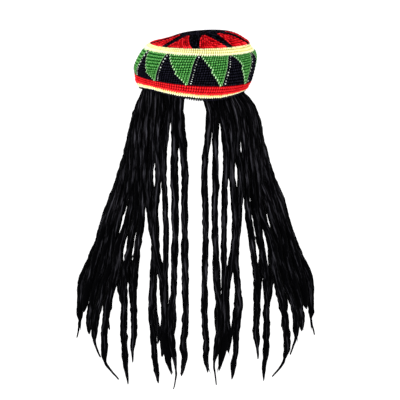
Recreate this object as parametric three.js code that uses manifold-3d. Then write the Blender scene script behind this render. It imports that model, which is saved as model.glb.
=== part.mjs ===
// A rasta tam with hanging dreadlocks: a round crocheted cap in black, red, green and cream,
// open underneath for the head, with two bunches of felted locks sewn inside its rim.
//
// Millimetres, +Z up. The origin is the centre of the head opening, level with the rim.
// The face opening is at the front, -Y, and +X is the viewer's right from there.

import * as THREE from "three";
import { mergeVertices } from "three/addons/utils/BufferGeometryUtils.js";
import Module from "manifold-3d";

const wasm = await Module();
wasm.setup();

// Crocheted cap
const hatWidth = 225; // side to side, where it bulges most
const hatDepth = 258; // front to back, where it bulges most
const crownHeight = 106; // from the rim to the middle of the crown
const knitWall = 4; // thickness of the crocheted fabric
const seamGap = 0.5; // clearance left where two colours of yarn meet
const inlayGap = 0.7; // clearance around each red wedge let into the crown
const rimWave = 4; // how far the soft rim waves up and down
const rimWaves = 3; // waves around the rim
const rimCrest = -45; // degrees from the front to a wave's crest
const dentDepth = 1.4; // soft dents in the filled-out sides
const dentCount = 3; // dents around

// Colour pattern
const peakCount = 11; // green points around the side
const stitchesPerPeak = 14; // stitches in one repeat of the side pattern
const peakStart = -1.2; // degrees from the front to the left end of the first point's base
const peakLean = 11.3; // degrees by which a point leans from its base to its tip
const wedgeCount = 9; // red wedges around the crown
const wedgeShare = 0.78; // share of the crown's edge that the red wedges cover
const wedgeTip = 4; // width of a red wedge at its tip, about one stitch
const wedgeStart = -0.5; // degrees from the front to the first wedge's left corner
const wedgeLean = 13; // degrees by which a wedge leans from its base to its tip

// Dreadlocks
const lockDrop = 580; // length of the longest lock below the rim
const fringeReach = 240; // distance out from the middle that the outermost locks reach
const lockDiameter = 11.2; // an ordinary felted lock
const lockFlare = 0.04; // share by which the bunches widen from front to back on the way down
const rightLift = 6; // the right bunch hangs this much higher than the left
const rightTurn = 5; // degrees by which its front end sits further round the rim
const tapeThickness = 3.5; // woven tape that the locks are sewn to
const tapeClearance = 0.7; // between the tape and the crocheted wall outside it
const lockSeat = 0.1; // share of its diameter by which a lock is sunk into its tape
const rimClearance = 8; // how far a lock hangs straight below the rim's edge
const exitDrop = 26; // depth below the origin at which a lock has swung clear of the rim
const tipRun = 0.06; // share of lockDrop over which a lock's tip turns
const rootGirth = 1.05; // share of its thickness that a lock has where it is sewn in
const rootSlim = 7; // share of its length over which a lock fills out, one in so many
const swellShare = 0.07; // share by which a lock's thickness varies along it
const swellTurns = 23; // radians of that variation from root to tip
const tipGirth = 0.3; // share of its thickness that a lock keeps at its tip
const tipBlunt = 12; // share of its length over which a lock narrows to its tip, one in so many

// Mesh fineness
const ringSteps = 36;
const lockSides = 5;
const lockSteps = 8; // along the hanging part of a lock
const tipSteps = 1.2; // how much a lock's steps shorten toward its tip

const yarn = {
  black: { color: 0x14141a, roughness: 0.95 },
  red: { color: 0xdd1f26, roughness: 0.9 },
  green: { color: 0x3f9c3c, roughness: 0.9 },
  cream: { color: 0xf7ea9a, roughness: 0.9 },
  felt: { color: 0x0d0d12, roughness: 1 },
};

// Sections of the cap from the rim up, one for each change in its shape or colour.
// round counts crocheted rounds from the rim. width and shift are shares of hatWidth / 2,
// depth is a share of hatDepth / 2, and height and tilt are shares of crownHeight.
// shift moves a section to the right, and tilt raises its right side.
const sections = [
  { at: "rim", round: 0, width: 0.875, depth: 0.9, height: 0.02, shift: -0.04, tilt: -0.045 },
  { at: "edging", round: 1, width: 0.893, depth: 0.915, height: 0.058, shift: -0.044, tilt: -0.049 },
  { at: "lower stripe", round: 3, width: 0.92, depth: 0.94, height: 0.118, shift: -0.05, tilt: -0.074 },
  { at: "red stripe", round: 6, width: 0.96, depth: 0.962, height: 0.243, shift: -0.027, tilt: -0.062 },
  { at: "bulge", round: 12.2, width: 1, depth: 1, height: 0.475, shift: 0.009, tilt: 0.05 },
  { at: "shoulder", round: 16, width: 0.95, depth: 0.96, height: 0.63, shift: 0.04, tilt: 0.028 },
  { at: "points", round: 19, width: 0.872, depth: 0.885, height: 0.724, shift: 0.075, tilt: -0.028 },
  { at: "upper stripe", round: 22, width: 0.78, depth: 0.73, height: 0.818, shift: 0.08, tilt: 0.015 },
  { at: "wedge middle", round: 26, width: 0.575, depth: 0.59, height: 0.91, shift: 0.1, tilt: 0.045 },
  { at: "wedge tips", round: 31, width: 0.345, depth: 0.35, height: 0.975, shift: 0.118, tilt: 0.024 },
  { at: "middle", round: 39, width: 0, depth: 0, height: 1, shift: 0.12, tilt: 0 },
];
const roundAt = Object.fromEntries(sections.map((row) => [row.at, row.round]));
const topRound = roundAt.middle;

// One row for each lock of the left bunch, from the front parting round to the back.
// root is its angle round the rim in degrees from the front. path is how far out it hangs as a
// share of fringeReach, at exitDrop below the rim and then at each tenth of lockDrop. neck and tip
// are the same at the start and the end of its last tipRun. drop is its length as a share of
// lockDrop, and girth its thickness as a share of lockDiameter.
const locks = [
  { root: 14, path: [0.106, 0.104, 0.078, 0.074, 0.079, 0.081, 0.077, 0.071, 0.088], neck: 0.083, tip: 0.105, drop: 0.912, girth: 1.04 },
  { root: 21, path: [0.152, 0.156, 0.155, 0.154, 0.154, 0.157, 0.162, 0.189, 0.185], neck: 0.148, tip: 0.171, drop: 0.96, girth: 1 },
  { root: 31, path: [0.2, 0.214, 0.233, 0.226, 0.22, 0.225, 0.226, 0.228, 0.225], neck: 0.216, tip: 0.186, drop: 0.916, girth: 1 },
  { root: 39.5, path: [0.248, 0.268, 0.279, 0.288, 0.307, 0.298, 0.257, 0.247, 0.259], neck: 0.259, tip: 0.263, drop: 0.86, girth: 1 },
  { root: 49.5, path: [0.296, 0.318, 0.33, 0.337, 0.325, 0.315, 0.328, 0.349, 0.333], neck: 0.314, tip: 0.296, drop: 0.966, girth: 1 },
  { root: 60, path: [0.338, 0.361, 0.377, 0.396, 0.419, 0.448, 0.478, 0.488, 0.491], neck: 0.504, tip: 0.505, drop: 0.903, girth: 1.12 },
  { root: 71, path: [0.376, 0.403, 0.423, 0.444, 0.479, 0.524, 0.558, 0.573, 0.579], neck: 0.568, tip: 0.557, drop: 1, girth: 1.12 },
  { root: 82, path: [0.404, 0.438, 0.468, 0.491, 0.521, 0.58, 0.637, 0.692, 0.741], neck: 0.738, tip: 0.637, drop: 0.999, girth: 1.28 },
  { root: 92, path: [0.42, 0.468, 0.51, 0.55, 0.603, 0.67, 0.706, 0.766, 0.829], neck: 0.834, tip: 0.794, drop: 0.932, girth: 1.25 },
  { root: 101, path: [0.415, 0.472, 0.526, 0.576, 0.636, 0.706, 0.756, 0.83, 0.883], neck: 0.883, tip: 0.891, drop: 0.858, girth: 1.24 },
  { root: 110, path: [0.39, 0.458, 0.533, 0.596, 0.671, 0.751, 0.822, 0.887, 0.93], neck: 0.914, tip: 0.935, drop: 0.788, girth: 1.22 },
  { root: 119, path: [0.364, 0.445, 0.531, 0.605, 0.703, 0.779, 0.864, 0.952, 0.978], neck: 0.981, tip: 1.015, drop: 0.894, girth: 1.12 },
  { root: 126, path: [0.342, 0.43, 0.52, 0.585, 0.645, 0.71, 0.77, 0.81, 0.85], neck: 0.86, tip: 0.87, drop: 0.87, girth: 1.1 },
  { root: 131.5, path: [0.32, 0.41, 0.49, 0.54, 0.594, 0.655, 0.7, 0.735, 0.77], neck: 0.765, tip: 0.74, drop: 0.88, girth: 1.1 },
  { root: 137, path: [0.291, 0.385, 0.45, 0.492, 0.535, 0.585, 0.633, 0.645, 0.615], neck: 0.605, tip: 0.6, drop: 0.9, girth: 1.1 },
  { root: 142.5, path: [0.26, 0.335, 0.385, 0.43, 0.485, 0.535, 0.563, 0.553, 0.535], neck: 0.525, tip: 0.52, drop: 0.93, girth: 1.1 },
  { root: 148, path: [0.228, 0.3, 0.337, 0.348, 0.342, 0.33, 0.336, 0.355, 0.352], neck: 0.335, tip: 0.33, drop: 0.95, girth: 1 },
  { root: 153.5, path: [0.193, 0.25, 0.28, 0.296, 0.313, 0.315, 0.282, 0.26, 0.265], neck: 0.26, tip: 0.255, drop: 0.91, girth: 1 },
  { root: 159, path: [0.16, 0.18, 0.168, 0.162, 0.161, 0.163, 0.167, 0.188, 0.194], neck: 0.185, tip: 0.19, drop: 0.93, girth: 1 },
  { root: 164.5, path: [0.118, 0.116, 0.098, 0.084, 0.084, 0.086, 0.082, 0.078, 0.09], neck: 0.088, tip: 0.095, drop: 0.9, girth: 1 },
];

const degrees = Math.PI / 180;
const mix = (a, b, t) => a + (b - a) * t;

// A smooth curve through the values at rising knots, read at one place.
function through(knots, values, at) {
  const last = knots.length - 1;
  const found = knots.findIndex((knot, i) => i < last && at <= knots[i + 1]);
  const i = found < 0 ? last - 1 : found;
  const slope = (j) => {
    const before = Math.max(j - 1, 0);
    const after = Math.min(j + 1, last);
    return (values[after] - values[before]) / (knots[after] - knots[before]);
  };
  const span = knots[i + 1] - knots[i];
  const t = THREE.MathUtils.clamp((at - knots[i]) / span, 0, 1);
  const near = (1 + 2 * t) * (1 - t) ** 2 * values[i] + t * (1 - t) ** 2 * span * slope(i);
  const far = t * t * (3 - 2 * t) * values[i + 1] + t * t * (t - 1) * span * slope(i + 1);
  return near + far;
}

// A size of the cap at a round, from the table of sections.
const rounds = sections.map((row) => row.round);
const columns = Object.fromEntries(
  ["width", "depth", "height", "shift", "tilt"].map((key) => [key, sections.map((row) => row[key])]),
);
const sectionAt = (key, round) => through(rounds, columns[key], round);

// The outer surface of the cap at a round and an angle from the front.
function surface(round, angle) {
  const across = Math.sin(angle);
  const dent = (dentDepth * Math.sin((Math.PI * round) / topRound) ** 2 * (1 - Math.cos(dentCount * angle))) / 2;
  const halfWidth = (sectionAt("width", round) * hatWidth) / 2;
  const halfDepth = (sectionAt("depth", round) * hatDepth) / 2;
  const inward = Math.max(0, 1 - dent / Math.max(halfWidth, dentDepth));
  const soft = Math.max(0, 1 - round / roundAt["red stripe"]);
  const wave = rimWave * soft * Math.cos(rimWaves * (angle - rimCrest * degrees));
  return new THREE.Vector3(
    (sectionAt("shift", round) * hatWidth) / 2 + halfWidth * inward * across,
    -halfDepth * inward * Math.cos(angle),
    (sectionAt("height", round) + sectionAt("tilt", round) * across) * crownHeight + wave,
  );
}

// A point of the cap's wall, inset from its outer surface.
function wallPoint(round, angle, inset) {
  const nudge = 0.05;
  const low = Math.min(round, topRound - 4 * nudge);
  const up = surface(low + nudge, angle).sub(surface(low - nudge, angle));
  const round_ = surface(low, angle + nudge).sub(surface(low, angle - nudge));
  const outward = round_.cross(up).normalize();
  return surface(round, angle).addScaledVector(outward, -inset);
}

// A geometry with each of its points moved to where place sends it.
function shaped(geometry, place) {
  const { position } = geometry.attributes;
  for (let i = 0; i < position.count; i++) {
    const { x, y, z } = place(new THREE.Vector3().fromBufferAttribute(position, i));
    position.setXYZ(i, x, y, z);
  }
  return geometry;
}

// A piece of the cap's wall between two rounds and two edges that may lean: a block of unit size,
// its x laid from the left edge to the right, its y up the rounds and its z out through the wall.
// left and right give the edge's angle at a share of the way up.
function wallPanel({ low, high, left, right, across, up, outer = 0, inner = knitWall }) {
  const block = new THREE.BoxGeometry(1, 1, 1, across, up, 1).translate(0.5, 0.5, 0.5);
  return shaped(block, ({ x, y, z }) =>
    wallPoint(mix(low, high, y), mix(left(y), right(y), x), mix(inner, outer, z)),
  );
}

// A ring of the cap's wall between two rounds: a ring of unit size in section, turned about y,
// its radius laid out through the wall and its y up the rounds.
function wallRing(low, high, up) {
  const outside = Array.from({ length: up + 1 }, (_, j) => new THREE.Vector2(2, j / up));
  const inside = outside.map(({ y }) => new THREE.Vector2(1, 1 - y));
  const profile = [...outside, ...inside, outside[0].clone()];
  return shaped(new THREE.LatheGeometry(profile, ringSteps), ({ x, y, z }) =>
    wallPoint(mix(low, high, y), Math.atan2(x, z), mix(2 * knitWall, 0, Math.hypot(x, z) / 2)),
  );
}

// The closed top of the cap: a disc of unit radius, its radius laid down the rounds from the
// middle and its y out through the wall.
function wallCap(low, up) {
  const below = Array.from({ length: up + 1 }, (_, j) => new THREE.Vector2(j / up, 0));
  const above = below.map(({ x }) => new THREE.Vector2(1 - x, 1));
  return shaped(new THREE.LatheGeometry([...below, ...above], ringSteps), ({ x, y, z }) => {
    const out = Math.hypot(x, z);
    const point = wallPoint(mix(topRound, low, out), Math.atan2(x, z), (1 - y) * knitWall);
    const top = surface(topRound, 0);
    return out > 1 / (2 * up) ? point : top.setZ(top.z - (1 - y) * knitWall);
  });
}

// Solids for cutting and joining, and back again.
function solidOf(geometry) {
  const merged = mergeVertices(geometry.clone().deleteAttribute("normal").deleteAttribute("uv"), 1e-5);
  const corners = Array.from(merged.index.array);
  const whole = (_, i) => {
    const [a, b, c] = corners.slice(i - (i % 3), i - (i % 3) + 3);
    return a !== b && b !== c && c !== a;
  };
  return new wasm.Manifold(
    new wasm.Mesh({
      numProp: 3,
      vertProperties: merged.attributes.position.array,
      triVerts: new Uint32Array(corners.filter(whole)),
    }),
  );
}

function geometryOf(solid) {
  const { vertProperties, triVerts } = solid.getMesh();
  const geometry = new THREE.BufferGeometry();
  geometry.setAttribute("position", new THREE.BufferAttribute(new Float32Array(vertProperties), 3));
  return geometry.setIndex(new THREE.BufferAttribute(new Uint32Array(triVerts), 1));
}

// A solid without the sealed pockets left between locks that touch.
function filled(solid) {
  const shells = solid.decompose();
  return shells.reduce((largest, shell) => (shell.volume() > largest.volume() ? shell : largest));
}

const tam = new THREE.Group();

function place(name, colour, geometry) {
  geometry.computeVertexNormals();
  const mesh = new THREE.Mesh(geometry, new THREE.MeshStandardMaterial({ ...yarn[colour], metalness: 0 }));
  mesh.name = name;
  tam.add(mesh);
}

const numbered = (name, i) => `${name}_${String(i + 1).padStart(2, "0")}`;

// The gap at a seam, in rounds up the wall and as an angle around it.
const roundHeight = surface(roundAt.bulge + 0.5, 0).distanceTo(surface(roundAt.bulge - 0.5, 0));
const halfGap = seamGap / 2 / roundHeight;
const gapAngle = (round) => seamGap / ((sectionAt("width", round) * hatWidth) / 2);

// Plain rings: the black edging and the three stripes.
function addRings() {
  place("rim_edging", "black", wallRing(roundAt.rim, roundAt.edging - halfGap, 1));
  place("lower_stripe", "cream", wallRing(roundAt.edging + halfGap, roundAt["lower stripe"] - halfGap, 1));
  place("red_stripe", "red", wallRing(roundAt["lower stripe"] + halfGap, roundAt["red stripe"] - halfGap, 2));
  place("upper_stripe", "cream", wallRing(roundAt.points + halfGap, roundAt["upper stripe"] - halfGap, 2));
}

// Green points hanging down between black points standing up, all leaning the same way.
// An edge runs from a corner at the foot of the band to a corner at its head.
function addPoints() {
  const low = roundAt["red stripe"] + halfGap;
  const high = roundAt.points - halfGap;
  const repeat = 360 / peakCount;
  const stitch = repeat / stitchesPerPeak;
  for (let k = 0; k < peakCount; k++) {
    const head = peakStart + k * repeat;
    const foot = head + repeat / 2 + peakLean;
    const falling = (t) => mix(foot - stitch / 2, head + stitch / 2, t) * degrees;
    const rising = (t) => mix(foot + stitch / 2, head + repeat - stitch / 2, t) * degrees;
    const nextFalling = (t) => falling(t) + repeat * degrees;
    const gap = (t) => gapAngle(mix(low, high, t)) / 2;
    const band = { low, high, across: 3, up: 4 };
    place(numbered("green_point", k), "green", wallPanel({
      ...band,
      left: (t) => falling(t) + gap(t),
      right: (t) => rising(t) - gap(t),
    }));
    place(numbered("black_point", k), "black", wallPanel({
      ...band,
      left: (t) => rising(t) + gap(t),
      right: (t) => nextFalling(t) - gap(t),
    }));
  }
}

// Red wedges let into the black top, with straight sides that lean as they close.
function addCrown() {
  const low = roundAt["upper stripe"] + halfGap;
  const high = roundAt["wedge tips"];
  const repeat = (2 * Math.PI) / wedgeCount;
  const radius = (round) => ((sectionAt("width", round) * hatWidth) / 2 + (sectionAt("depth", round) * hatDepth) / 2) / 2;
  const baseWidth = wedgeShare * repeat * radius(low);
  let top = solidOf(wallCap(low, 6));
  for (let k = 0; k < wedgeCount; k++) {
    const foot = wedgeStart * degrees + (k + wedgeShare / 2) * repeat;
    const edge = (side, grow, from, to) => (t) => {
      const share = (mix(from, to, t) - low) / (high - low);
      const half = mix(baseWidth, wedgeTip, share) / 2 + grow;
      return foot - wedgeLean * degrees * share + (side * half) / radius(mix(from, to, t));
    };
    const wedge = (grow, from, to, outer, inner) =>
      wallPanel({
        low: from,
        high: to,
        left: edge(-1, grow, from, to),
        right: edge(1, grow, from, to),
        across: 3,
        up: 3,
        outer,
        inner,
      });
    const cutter = wedge(inlayGap, low - 2 * halfGap, high + 2 * halfGap, -knitWall, 2 * knitWall);
    top = top.subtract(solidOf(cutter));
    place(numbered("red_wedge", k), "red", wedge(0, low, high, 0, knitWall));
  }
  place("crown_top", "black", geometryOf(top));
}

// Where a lock is sewn in on one side, in degrees from the front.
function rootAngle(lock, side) {
  return lock.root + (side > 0 ? rightTurn * Math.max(0, 1 - lock.root / 90) : 0);
}

// The route of a lock on one side: the heights it falls through and its place at each.
function lockRoute(lock, side) {
  const lift = side > 0 ? rightLift : 0;
  const angle = side * rootAngle(lock, side) * degrees;
  const seat = knitWall + tapeClearance + tapeThickness + lockDiameter * lock.girth * (0.5 - lockSeat);
  const root = wallPoint(roundAt["lower stripe"], angle, seat);
  const rim = wallPoint(roundAt.rim, angle, seat);
  const hanging = lock.path
    .map((out, i) => [i ? (i * lockDrop) / 10 - lift : exitDrop, out * fringeReach])
    .filter(([fall]) => fall < (lock.drop - 1.5 * tipRun) * lockDrop - lift);
  const stations = [
    [-root.z, side * root.x],
    [-rim.z, side * rim.x],
    [-rim.z + rimClearance, side * rim.x],
    ...hanging,
    [(lock.drop - tipRun) * lockDrop - lift, lock.neck * fringeReach],
    [lock.drop * lockDrop - lift, lock.tip * fringeReach],
  ];
  const falls = stations.map(([fall]) => fall);
  const outs = stations.map(([, out]) => out);
  const end = falls[falls.length - 1];
  const free = Array.from({ length: lockSteps + 1 }, (_, i) => mix(falls[3], end, 1 - (1 - i / lockSteps) ** tipSteps));
  const place = (fall) => {
    const forward = through([falls[0], falls[1], end], [root.y, rim.y, rim.y * (1 + lockFlare)], fall);
    return new THREE.Vector3(side * through(falls, outs, fall), forward, -fall);
  };
  return { falls: [...falls.slice(0, 3), ...free], place };
}

// One felted lock: a cylinder of unit radius drawn out along its route, with changing girth.
function lockTube(lock, side) {
  const { falls, place } = lockRoute(lock, side);
  const last = falls.length - 1;
  const cornerRadius = (Math.PI * lockDiameter) / (2 * lockSides * Math.sin(Math.PI / lockSides));
  const tube = new THREE.CylinderGeometry(1, 1, last, lockSides, last).translate(0, -last / 2, 0);
  return shaped(tube, ({ x, y, z }) => {
    const fall = falls[Math.round(-y)];
    const share = (fall - falls[0]) / (falls[last] - falls[0]);
    const slim = mix(rootGirth, 1, Math.min(1, share * rootSlim));
    const taper = Math.min(1, mix(tipGirth, 1, (1 - share) * tipBlunt));
    const swell = 1 + swellShare * Math.sin(lock.root + swellTurns * share);
    const radius = cornerRadius * lock.girth * slim * taper * swell;
    const ahead = place(fall + 1).sub(place(fall - 1)).normalize();
    const aside = new THREE.Vector3(0, 1, 0).cross(ahead).normalize();
    const across = ahead.clone().cross(aside);
    return place(fall).addScaledVector(aside, radius * x).addScaledVector(across, radius * z);
  });
}

// One bunch of locks on its tape, inside the rim from the front parting round to the back.
function addBunch(name, side) {
  const step = 360 / ringSteps;
  const first = Math.floor(rootAngle(locks[0], side) / step) * step;
  const last = Math.ceil(locks[locks.length - 1].root / step) * step;
  const ends = [side * first, side * last].sort((a, b) => a - b);
  const outer = knitWall + tapeClearance;
  const tape = wallPanel({
    low: roundAt.rim,
    high: roundAt["lower stripe"],
    left: () => ends[0] * degrees,
    right: () => ends[1] * degrees,
    across: Math.round((last - first) / step),
    up: 1,
    outer,
    inner: outer + tapeThickness,
  });
  const tubes = locks.map((lock) => solidOf(lockTube(lock, side)));
  place(name, "felt", geometryOf(filled(wasm.Manifold.union([solidOf(tape), ...tubes]))));
}

addRings();
addPoints();
addCrown();
addBunch("left_locks", -1);
addBunch("right_locks", 1);

export default tam;
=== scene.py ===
"""A rasta tam: a puffy crocheted cap in black, red, green and cream, with two bunches of felted locks.

Lengths are millimetres in the tables and metres in the finished meshes, +Z up, with the front at -Y.
"""

import logging
import math
from dataclasses import dataclass, field, fields, replace
from enum import Enum
from typing import Any, Callable, Iterable

import bmesh
import bpy
import numpy as np
from bpy.types import Material, Node, Object
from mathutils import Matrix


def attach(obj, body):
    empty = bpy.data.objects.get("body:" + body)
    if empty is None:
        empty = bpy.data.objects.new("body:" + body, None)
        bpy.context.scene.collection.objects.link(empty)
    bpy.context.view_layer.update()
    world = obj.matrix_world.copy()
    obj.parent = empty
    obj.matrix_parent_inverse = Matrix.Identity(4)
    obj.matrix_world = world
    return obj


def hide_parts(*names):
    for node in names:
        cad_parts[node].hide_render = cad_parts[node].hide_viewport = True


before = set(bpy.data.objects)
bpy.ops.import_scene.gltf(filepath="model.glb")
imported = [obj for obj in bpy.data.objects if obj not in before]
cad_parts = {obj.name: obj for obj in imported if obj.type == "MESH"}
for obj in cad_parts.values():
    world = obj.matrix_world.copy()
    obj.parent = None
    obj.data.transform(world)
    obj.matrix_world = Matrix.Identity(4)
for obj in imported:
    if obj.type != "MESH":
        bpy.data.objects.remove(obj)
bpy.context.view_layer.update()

log = logging.getLogger("tam")
MM = 0.001
Colour = tuple[int, int, int]
Pair = tuple[float, float]
Triple = tuple[float, float, float]


class Yarn(Enum):
    """The yarns and fibres that the tam is made of, each with its slot in the record."""

    BLACK = "black_yarn"
    RED = "red_yarn"
    GREEN = "green_yarn"
    CREAM = "cream_yarn"
    FELT = "black_felt"


def linear(red: int, green: int, blue: int) -> tuple[float, float, float, float]:
    """A screen colour as the linear colour that a shader takes.

    Args:
        red: Red, from 0 to 255.
        green: Green, from 0 to 255.
        blue: Blue, from 0 to 255.

    Returns:
        The linear colour with full opacity.
    """
    share = [value / 255 for value in (red, green, blue)]
    return (*[s / 12.92 if s <= 0.04045 else ((s + 0.055) / 1.055) ** 2.4 for s in share], 1.0)


def through(knots: np.ndarray, values: np.ndarray, at: np.ndarray) -> np.ndarray:
    """A smooth curve through the values at rising knots, read at many places.

    Args:
        knots: Rising places.
        values: The value at each knot.
        at: Where to read the curve.

    Returns:
        The curve's value at each place, held level past both ends.
    """
    last = len(knots) - 1
    index = np.arange(last + 1)
    before, after = np.maximum(index - 1, 0), np.minimum(index + 1, last)
    slope = (values[after] - values[before]) / (knots[after] - knots[before])
    i = np.clip(np.searchsorted(knots, at, side="left") - 1, 0, last - 1)
    span = knots[i + 1] - knots[i]
    t = np.clip((at - knots[i]) / span, 0, 1)
    near = (1 + 2 * t) * (1 - t) ** 2 * values[i] + t * (1 - t) ** 2 * span * slope[i]
    far = t * t * (3 - 2 * t) * values[i + 1] + t * t * (t - 1) * span * slope[i + 1]
    return near + far


def wander(rng: np.random.Generator, at: np.ndarray, spacing: float) -> np.ndarray:
    """Smooth random values between -1 and 1 along a line.

    Args:
        rng: The seeded source of chance.
        at: Places along the line, from 0 up.
        spacing: Distance between the random knots.

    Returns:
        The value at each place.
    """
    knots = rng.uniform(-1, 1, int(at.max() / spacing) + 3)
    whole = np.floor(at / spacing).astype(int)
    t = at / spacing - whole
    return knots[whole] + (knots[whole + 1] - knots[whole]) * t * t * (3 - 2 * t)


def mottle(
    rng: np.random.Generator, along: np.ndarray, turn: np.ndarray, spacing: float, sectors: int
) -> np.ndarray:
    """Smooth random values between -1 and 1 over a tube's skin.

    Args:
        rng: The seeded source of chance.
        along: Places along the tube, from 0 up.
        turn: Places around it, as turns.
        spacing: Distance between the random knots along it.
        sectors: Random knots around it.

    Returns:
        The value at each place.
    """
    knots = rng.uniform(-1, 1, (int(along.max() / spacing) + 3, sectors))
    row = np.floor(along / spacing).astype(int)
    down = along / spacing - row
    down = down * down * (3 - 2 * down)
    sector = (turn % 1) * sectors
    column = np.floor(sector).astype(int)
    side = sector - column
    side = side * side * (3 - 2 * side)
    left, right = column % sectors, (column + 1) % sectors
    upper = knots[row, left] * (1 - side) + knots[row, right] * side
    lower = knots[row + 1, left] * (1 - side) + knots[row + 1, right] * side
    return upper * (1 - down) + lower * down


@dataclass
class Form:
    """A shape as arrays, ready to be copied.

    points are its points, corners and counts its faces, grain each point's place along the fibres,
    lift how far out of the grooves each point stands, from 0 to 1, which the finishes paint as shade
    in the grooves and a highlight on top (on the locks it marks the ridges that get a painted
    highlight), and finish each face's material.
    """

    points: np.ndarray
    corners: np.ndarray
    counts: np.ndarray
    grain: np.ndarray
    lift: np.ndarray
    finish: np.ndarray

    @classmethod
    def of(cls, piece: Object) -> "Form":
        """The arrays of a modelled piece, which is then taken out of the scene.

        Args:
            piece: A mesh object whose place is in its mesh.

        Returns:
            Its form, with the grain as its points and the first finish all over.
        """
        mesh = piece.data
        points = np.empty(len(mesh.vertices) * 3)
        mesh.vertices.foreach_get("co", points)
        corners = np.empty(len(mesh.loops), dtype=np.int64)
        mesh.loops.foreach_get("vertex_index", corners)
        counts = np.empty(len(mesh.polygons), dtype=np.int64)
        mesh.polygons.foreach_get("loop_total", counts)
        bpy.data.objects.remove(piece)
        bpy.data.meshes.remove(mesh)
        points = points.reshape(-1, 3)
        lift, finish = np.ones(len(points)), np.zeros(len(counts), dtype=np.int64)
        return cls(points, corners, counts, points.copy(), lift, finish)

    def with_points(self, points: np.ndarray, grain: np.ndarray, lift: np.ndarray | None = None) -> "Form":
        """A copy with its own points and grain, and its own lift where that is given."""
        lift = self.lift if lift is None else lift
        return replace(self, points=points, grain=grain, lift=lift, finish=self.finish.copy())

    def turned(self) -> "Form":
        """A copy with its faces turned to the other side."""
        corners, counts, finish = (row[::-1].copy() for row in (self.corners, self.counts, self.finish))
        return replace(self, corners=corners, counts=counts, finish=finish)

    def outward(self) -> "Form":
        """The form with its faces turned outward, by the sign of the space that it encloses."""
        starts = np.cumsum(self.counts) - self.counts
        space = 0.0
        for sides in np.unique(self.counts):
            at = starts[self.counts == sides]
            first = self.points[self.corners[at]]
            for i in range(1, sides - 1):
                second, third = (self.points[self.corners[at + step]] for step in (i, i + 1))
                space += np.einsum("ij,ij->", first, np.cross(second, third))
        return self.turned() if space < 0 else self

    @staticmethod
    def joined(forms: Iterable["Form"]) -> "Form":
        """Several forms as one.

        Args:
            forms: The forms to join, in order.

        Returns:
            One form that holds them all.
        """
        held = list(forms)
        starts = np.cumsum([0] + [len(form.points) for form in held[:-1]])
        held = [replace(form, corners=form.corners + start) for form, start in zip(held, starts)]
        return Form(*(np.concatenate([getattr(form, row.name) for form in held]) for row in fields(Form)))

    def piece(self, name: str, finishes: list[Material]) -> Object:
        """A new mesh object of this form.

        Args:
            name: The piece's name.
            finishes: Its materials, in the order that the form's finish numbers name.

        Returns:
            The object, shaded smooth, at the origin, with its place in its mesh.
        """
        mesh = bpy.data.meshes.new(name)
        mesh.vertices.add(len(self.points))
        mesh.loops.add(len(self.corners))
        mesh.polygons.add(len(self.counts))
        mesh.vertices.foreach_set("co", (self.points * MM).ravel())
        mesh.loops.foreach_set("vertex_index", self.corners)
        mesh.polygons.foreach_set("loop_start", np.cumsum(self.counts) - self.counts)
        mesh.polygons.foreach_set("material_index", self.finish)
        mesh.polygons.foreach_set("use_smooth", np.ones(len(self.counts), dtype=bool))
        for finish in finishes:
            mesh.materials.append(finish)
        mesh.update(calc_edges=True)
        grain = mesh.attributes.new("grain", "FLOAT_VECTOR", "POINT")
        grain.data.foreach_set("vector", (self.grain * MM).ravel())
        lift = mesh.attributes.new("lift", "FLOAT", "POINT")
        lift.data.foreach_set("value", self.lift)
        mesh.validate()
        made = bpy.data.objects.new(name, mesh)
        bpy.context.collection.objects.link(made)
        return made


def started(add: Callable[..., set[str]], **settings: Any) -> Object:
    """A new primitive, with its place and its size taken into its mesh.

    Args:
        add: The operator that adds the primitive.
        settings: What the operator is told.

    Returns:
        The object.
    """
    bpy.ops.object.select_all(action="DESELECT")
    add(**settings)
    made = bpy.context.active_object
    bpy.ops.object.transform_apply(location=True, rotation=True, scale=True)
    return made


def pick(piece: Object, kind: str, test: Callable[..., bool]) -> None:
    """Select the parts of a piece in edit mode that pass a test, and nothing else.

    Args:
        piece: The object that is being edited.
        kind: EDGE or FACE.
        test: Takes one edge or face and says whether it is wanted.
    """
    bpy.ops.mesh.select_mode(type=kind)
    bpy.ops.mesh.select_all(action="DESELECT")
    shape = bmesh.from_edit_mesh(piece.data)
    for part in shape.edges if kind == "EDGE" else shape.faces:
        part.select_set(test(part))
    shape.select_flush_mode()
    bmesh.update_edit_mesh(piece.data)


def cut(piece: Object, axis: int, parts: int) -> None:
    """Cut a piece in edit mode across all of its edges that run along one axis.

    Args:
        piece: The object that is being edited.
        axis: 0 for x, 1 for y, 2 for z.
        parts: How many parts each of the edges is cut into.
    """
    small = 1e-5

    def runs(edge: bmesh.types.BMEdge) -> bool:
        """Whether an edge runs along the axis."""
        span = edge.verts[1].co - edge.verts[0].co
        return all((abs(length) > small) == (i == axis) for i, length in enumerate(span))

    pick(piece, "EDGE", runs)
    bpy.ops.mesh.subdivide(number_cuts=parts - 1)


def drawn_tube(sides: int, cuts: Iterable[int]) -> Form:
    """A closed tube of unit radius from z 0 to z 1, cut into rings along its length.

    Args:
        sides: Faces around it.
        cuts: How many parts each pass cuts its length into, one pass after another.

    Returns:
        The tube's form.
    """
    size = {"vertices": sides, "radius": 1, "depth": 1, "location": (0, 0, 0.5)}
    tube = started(bpy.ops.mesh.primitive_cylinder_add, end_fill_type="TRIFAN", **size)
    bpy.ops.object.mode_set(mode="EDIT")
    for parts in cuts:
        cut(tube, 2, parts)
    bpy.ops.object.mode_set(mode="OBJECT")
    return Form.of(tube)


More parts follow.
